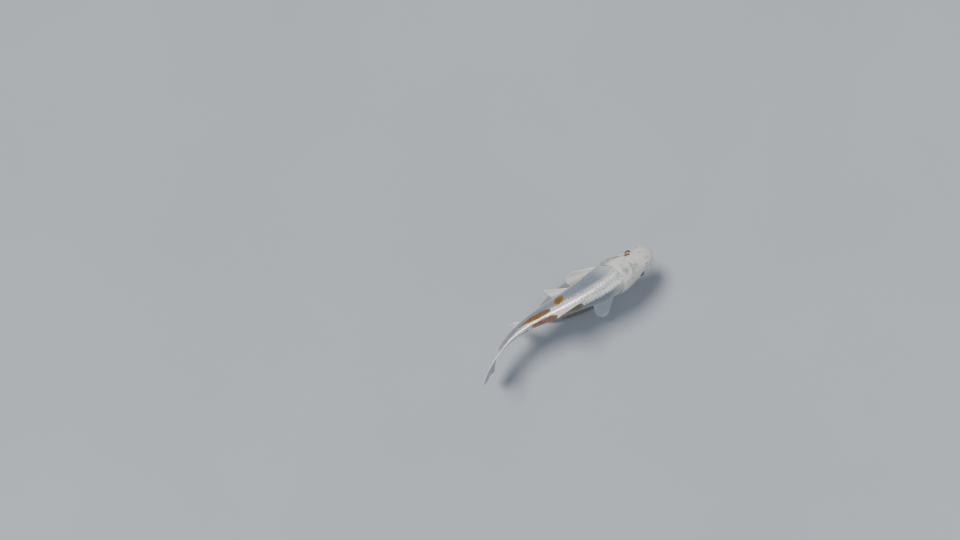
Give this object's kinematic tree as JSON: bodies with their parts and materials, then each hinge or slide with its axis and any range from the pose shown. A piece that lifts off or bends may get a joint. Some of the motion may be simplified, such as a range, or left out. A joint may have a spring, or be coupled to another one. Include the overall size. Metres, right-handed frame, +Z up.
{
  "type": "koi carp display model",
  "caption": "Life-size still model of a slender white and orange mirror-scaled koi carp in a gentle swimming curve, held on a low oval stand by short rods.",
  "frame": {"origin": "centre of the stand base's underside", "axes": "+Z up, nose towards -Y, the fish's left side towards +X, tail bending towards -X"},
  "size_m": [0.0958, 0.3371, 0.1516],
  "materials": {
    "skin": "pearly white skin with orange patches, satin gloss",
    "fin": "milky translucent rayed fin, satin",
    "eye": "wet gloss, dark",
    "stand": "pale grey satin paint on aluminium",
    "rod": "brushed bright steel"
  },
  "bodies": {
    "root": {"head": "skin", "upper_lip": "skin", "lower_lip": "skin", "lower_jaw": "skin", "gill_cover_left": "skin", "gill_cover_right": "skin", "trunk_front": "skin", "trunk_rear": "skin", "tail_stem": "skin", "barbel_front_left": "skin", "barbel_front_right": "skin", "barbel_rear_left": "skin", "barbel_rear_right": "skin", "dorsal_fin": "fin", "anal_fin": "fin", "caudal_fin_upper": "fin", "caudal_fin_lower": "fin", "pectoral_fin_left": "fin", "pectoral_fin_right": "fin", "pelvic_fin_left": "fin", "pelvic_fin_right": "fin", "eye_left": "eye", "eye_right": "eye", "stand_base": "stand", "stand_rod_front": "rod", "stand_rod_rear": "rod"}
  },
  "joints": []
}
